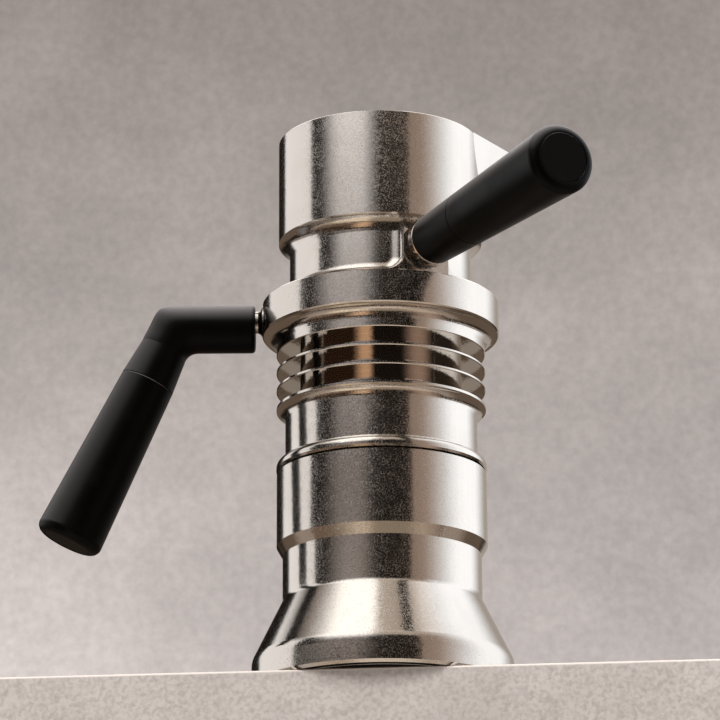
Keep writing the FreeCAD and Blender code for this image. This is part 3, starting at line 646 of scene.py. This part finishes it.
# In degrees: azimuth from the front, + to the right; sides and ends are the soft edges' widths.
# A later card covers the earlier ones.
cards = {
    "warmFloor": {"azimuth": (-180, 180), "sides": (0, 0), "height": (-90, -34), "ends": (0, 10),
     "colour": (0.34, 0.27, 0.20)},
    "underFloor": {"azimuth": (-72, 88), "sides": (40, 50), "height": (-90, -62), "ends": (0, 6),
     "colour": (0.84, 0.71, 0.61)},
    "floorRight": {"azimuth": (26, 150), "sides": (30, 25), "height": (-67, -34), "ends": (5, 10),
     "colour": (0.66, 0.53, 0.42)},
    "floorLeft": {"azimuth": (-150, -66), "sides": (30, 20), "height": (-90, -34), "ends": (0, 10),
     "colour": (0.52, 0.43, 0.35)},
    "creamFloor": {"azimuth": (-82, -8), "sides": (16, 16), "height": (-66, -40), "ends": (8, 8),
     "colour": (1.05, 0.88, 0.70)},
    "bronzeStrip": {"azimuth": (-92, -38), "sides": (8, 10), "height": (-42, -3), "ends": (8, 4),
     "colour": (0.17, 0.11, 0.075)},
    "darkStrip": {"azimuth": (-100, -20), "sides": (8, 18), "height": (-26, -6), "ends": (5, 4),
     "colour": (0.03, 0.015, 0.008)},
    "goldStrip": {"azimuth": (-41, -8), "sides": (18, 10), "height": (-40, -3), "ends": (8, 4),
     "colour": (0.85, 0.54, 0.34)},
    "pinkStrip": {"azimuth": (27, 82), "sides": (26, 26), "height": (-42, -3), "ends": (8, 3),
     "colour": (0.46, 0.33, 0.26)},
    "lowRight": {"azimuth": (80, 150), "sides": (20, 20), "height": (-42, -3), "ends": (8, 3),
     "colour": (0.50, 0.42, 0.35)},
    "lowLeft": {"azimuth": (-145, -86), "sides": (20, 8), "height": (-42, -3), "ends": (8, 3),
     "colour": (0.34, 0.28, 0.24)},
    "floorBehind": {"azimuth": (140, 220), "sides": (20, 20), "height": (-60, -1), "ends": (10, 3),
     "colour": (0.13, 0.09, 0.06)},
    "rearWall": {"azimuth": (112, 197), "sides": (34, 15), "height": (-6, 62), "ends": (3, 20),
     "colour": (0.44, 0.39, 0.35)},
    "leftHigh": {"azimuth": (-160, -78), "sides": (14, 16), "height": (30, 74), "ends": (16, 10),
     "colour": (0.28, 0.235, 0.21)},
    "leftWindow": {"azimuth": (-138, -81.5), "sides": (6, 2), "height": (-4, 40), "ends": (3, 12),
     "colour": (1.09, 1.07, 1.07)},
    "boxGlow": {"azimuth": (-66, -8), "sides": (22, 16), "height": (8, 92), "ends": (7, 1),
     "colour": (0.21, 0.18, 0.17)},
    "softBox": {"azimuth": (-72, 2), "sides": (30, 24), "height": (13, 88), "ends": (22, 8),
     "colour": (1.36, 1.33, 1.36)},
    "topBox": {"azimuth": (-102, 10), "sides": (46, 20), "height": (32, 88), "ends": (8, 8),
     "colour": (1.80, 1.76, 1.72)},
    "lowBoard": {"azimuth": (-86, 3), "sides": (24, 32), "height": (5.0, 6.6), "ends": (0.6, 0.3),
     "colour": (0.54, 0.49, 0.47)},
    "midBoard": {"azimuth": (-68, -4), "sides": (28, 26), "height": (6.6, 11.6), "ends": (0.8, 2.6),
     "colour": (0.46, 0.41, 0.39)},
    "highBrown": {"azimuth": (-16, 92), "sides": (14, 40), "height": (27, 82), "ends": (8, 14),
     "colour": (0.56, 0.48, 0.41)},
    "highPink": {"azimuth": (38, 104), "sides": (22, 30), "height": (46, 84), "ends": (6, 14),
     "colour": (0.95, 0.86, 0.78)},
    "highLine": {"azimuth": (-10, 46), "sides": (6, 20), "height": (49, 53), "ends": (1, 1),
     "colour": (1.00, 0.92, 0.84), "share": 0.7},
    "brownBoard": {"azimuth": (31.5, 84), "sides": (2.5, 20), "height": (-8, 46), "ends": (3, 14),
     "colour": (0.38, 0.285, 0.23), "folds": 0.06},
    "rightWindow": {"azimuth": (44, 152), "sides": (52, 34), "height": (-3, 74), "ends": (4, 22),
     "colour": (1.48, 1.54, 1.62), "folds": 0.03},
    "rearHigh": {"azimuth": (142, 216), "sides": (14, 14), "height": (27, 76), "ends": (10, 10),
     "colour": (1.70, 1.64, 1.58)},
    "ceiling": {"azimuth": (-180, 180), "sides": (0, 0), "height": (72, 100), "ends": (16, 1),
     "colour": (0.75, 0.72, 0.70), "share": 0.6},
}


def softStep(value, low, width):
    share = np.clip((value - low) / max(width, 0.01), 0, 1)
    return share * share * (3 - 2 * share)


# 1 between first and last, falling to 0 inside them over the two given widths
def softBand(value, first, last, widths):
    return softStep(value, first, widths[0]) * (1 - softStep(value, last - widths[1], widths[1]))


def addSurround(s):
    around, up = s["around"], s["up"]
    azimuth = np.linspace(-180, 180, around, endpoint=False)
    azimuths, heights = np.meshgrid(azimuth, np.linspace(s["lowest"], 90, up))
    a, e = np.radians(azimuths), np.radians(heights)
    folded = np.sin(a * s["foldCount"] + s["foldReach"] * np.sin(a * s["foldSway"]))
    colours = np.empty((*azimuths.shape, 3))
    colours[:] = s["dark"]
    for card in cards.values():
        first, last = card["azimuth"]
        seen = np.where(azimuths < first - 1, azimuths + 360, azimuths)     # past the seam at the back
        mask = softBand(seen, first, last, card["sides"])
        if last - first >= 360:
            mask[:] = 1
        mask *= softBand(heights, *card["height"], card["ends"])
        mask *= card.get("share", 1)
        folds = 1 + card.get("folds", 0) * folded
        colours += mask[..., None] * (np.array(card["colour"]) * folds[..., None] - colours)
    points = np.stack([np.sin(a) * np.cos(e), -np.cos(a) * np.cos(e), np.sin(e)], -1) * s["radius"]
    points[..., 2] += s["centre"]
    faces = [(r * around + c, r * around + (c + 1) % around,
              (r + 1) * around + (c + 1) % around, (r + 1) * around + c)
             for r in range(up - 1) for c in range(around)]
    surround = addCard("reflectionCards", points, faces, colours)


addSurround(surroundSettings)


# Brown flag just over the slab and a dark lip over its edge, seen in reflections only: painted shade on the
# slab under and behind the maker, so the undersides turn dark and warm, with a painted gold reflection in
# the middle; the lip paints the contact shadow under the foot
flagSettings = {
    "halfWidth": 0.60,
    "far": 0.95,
    "height": 0.4 * mm,
    "inset": 1.5 * mm,
    "steps": (160, 160),
    "dark": (0.006, 0.004, 0.003),
    "brown": (0.155, 0.115, 0.085),
    "front": (0.40, 0.33, 0.28),
    "darkAcross": (0.045, 0.03),      # each pair: where a change starts, and how wide it is
    "darkFrom": (0.12, 0.10),
    "darkTo": (0.31, 0.05),
    "goldAt": -0.012,
    "goldWidth": 0.01,
    "goldShare": 0.7,
    "fadeAcross": (0.26, 0.10),
    "fadeShare": 0.85,
    "frontFrom": (0.03, 0.05),
    "frontAcross": (0.22, 0.10),
    "lipHeight": 5 * mm,
    "lipHalfWidth": 38 * mm,
    "lipGap": 0.1 * mm,
}


def addFlag(s):
    across, along = s["steps"]
    xs, ys = np.meshgrid(np.linspace(-s["halfWidth"], s["halfWidth"], across), np.linspace(0, 1, along))
    edge = slabEdge(xs) + s["inset"]
    ys = edge + ys * (s["far"] - edge)
    points = np.stack([xs, ys, np.full_like(xs, s["height"])], -1)
    faces = [(r * across + c, r * across + c + 1, (r + 1) * across + c + 1, (r + 1) * across + c)
             for r in range(along - 1) for c in range(across - 1)]
    side = np.abs(xs)
    # The dark middle is painted shade on the slab behind the maker; the gold streak in it is a painted
    # reflection
    middle = (1 - softStep(side, *s["darkAcross"])) * softStep(ys, *s["darkFrom"])
    middle = middle * (1 - softStep(ys, *s["darkTo"]))
    gold = s["goldShare"] * np.exp(-((xs - s["goldAt"]) / s["goldWidth"]) ** 2)
    share = (1 - middle * (1 - gold)) * (1 - s["fadeShare"] * softStep(side, *s["fadeAcross"]))
    front = (1 - softStep(ys - edge, *s["frontFrom"])) * (1 - softStep(side, *s["frontAcross"]))
    share, front = share[..., None], front[..., None]
    colours = np.array(s["dark"]) * (1 - share) + np.array(s["brown"]) * share
    colours = colours * (1 - front) + np.array(s["front"]) * front
    flag = addCard("slabFlag", points, faces, colours)
    # Dark lip over the slab's front edge: painted contact shadow under the foot, seen in reflections
    corners = [(x, slabEdge(x) - s["lipGap"], z)
               for x, z in ((-s["lipHalfWidth"], -s["lipHeight"]), (s["lipHalfWidth"], -s["lipHeight"]),
                            (s["lipHalfWidth"], 0), (-s["lipHalfWidth"], 0))]
    lip = addCard("slabLip", np.array(corners), [(0, 1, 2, 3)], np.array([s["dark"]] * 4))


addFlag(flagSettings)
print("cards and flag set up")


# Lamps give the plain, even light; the cards alone show in the metal
lampTarget = Vector((0, 0, 0.1))
lampSettings = [
    {"name": "keyLamp", "place": (-0.8, -1.3, 0.85),
     "size": 1.0, "power": 19.0, "colour": (1.0, 0.97, 0.94)},
    {"name": "fillLamp", "place": (1.3, -0.7, 0.7),
     "size": 1.0, "power": 10.0, "colour": (1.0, 0.96, 0.93)},
    {"name": "topLamp", "place": (0.1, 0.35, 1.5),
     "size": 1.0, "power": 9.0, "colour": (1.0, 0.97, 0.94)},
]


def addLamp(s):
    data = bpy.data.lights.new(s["name"], "AREA")
    data.shape, data.size, data.energy, data.color = "DISK", s["size"], s["power"], s["colour"]
    lamp = bpy.data.objects.new(s["name"], data)
    lamp.location = s["place"]
    lamp.rotation_mode = "QUATERNION"
    lamp.rotation_quaternion = (Vector(s["place"]) - lampTarget).to_track_quat("Z", "Y")
    lamp.visible_glossy = False
    bpy.context.scene.collection.objects.link(lamp)


# The room: pale and warm grey, a little darker higher up, lighter to the left low down, and mottled
roomSettings = {
    "lowColour": (0.57, 0.515, 0.495),
    "highColour": (0.305, 0.265, 0.245),
    "heightRange": (0.2, 0.40),
    "sideRange": (-0.07, 0.07),
    "sideShare": (1.2, 0.84),
    "noiseDetail": 3,
    "noiseRange": (0.3, 0.7),
    "mottles": [(9, (0.86, 1.14)), (60, (0.94, 1.06)), (420, (0.93, 1.07))],     # scale and share
}


def addRoom(s):
    world = bpy.data.worlds.new("paleRoom")
    bpy.context.scene.world = world
    world.use_nodes = True
    tree = world.node_tree
    place = addNode(tree, "TexCoord").outputs["Generated"]
    parts = splitNode(tree, place)
    high = rangeNode(tree, parts["Z"], s["heightRange"])
    shade = mixColour(tree, high, s["lowColour"], s["highColour"])
    lean = rangeNode(tree, parts["X"], s["sideRange"], s["sideShare"])
    low = mathNode(tree, "SUBTRACT", 1.0, high)
    mottle = mathNode(tree, "ADD", mathNode(tree, "MULTIPLY", lean, low), high)
    for scale, share in s["mottles"]:
        noise = noiseNode(tree, place, scale, Detail=s["noiseDetail"])
        mottle = mathNode(tree, "MULTIPLY", rangeNode(tree, noise, s["noiseRange"], share), mottle)
    feed(tree, tree.nodes["Background"].inputs["Color"], vectorNode(tree, "SCALE", shade, mottle).outputs[0])


for settings in lampSettings:
    addLamp(settings)
addRoom(roomSettings)
bpy.context.scene.view_settings.view_transform = "Standard"
print("light and room set")
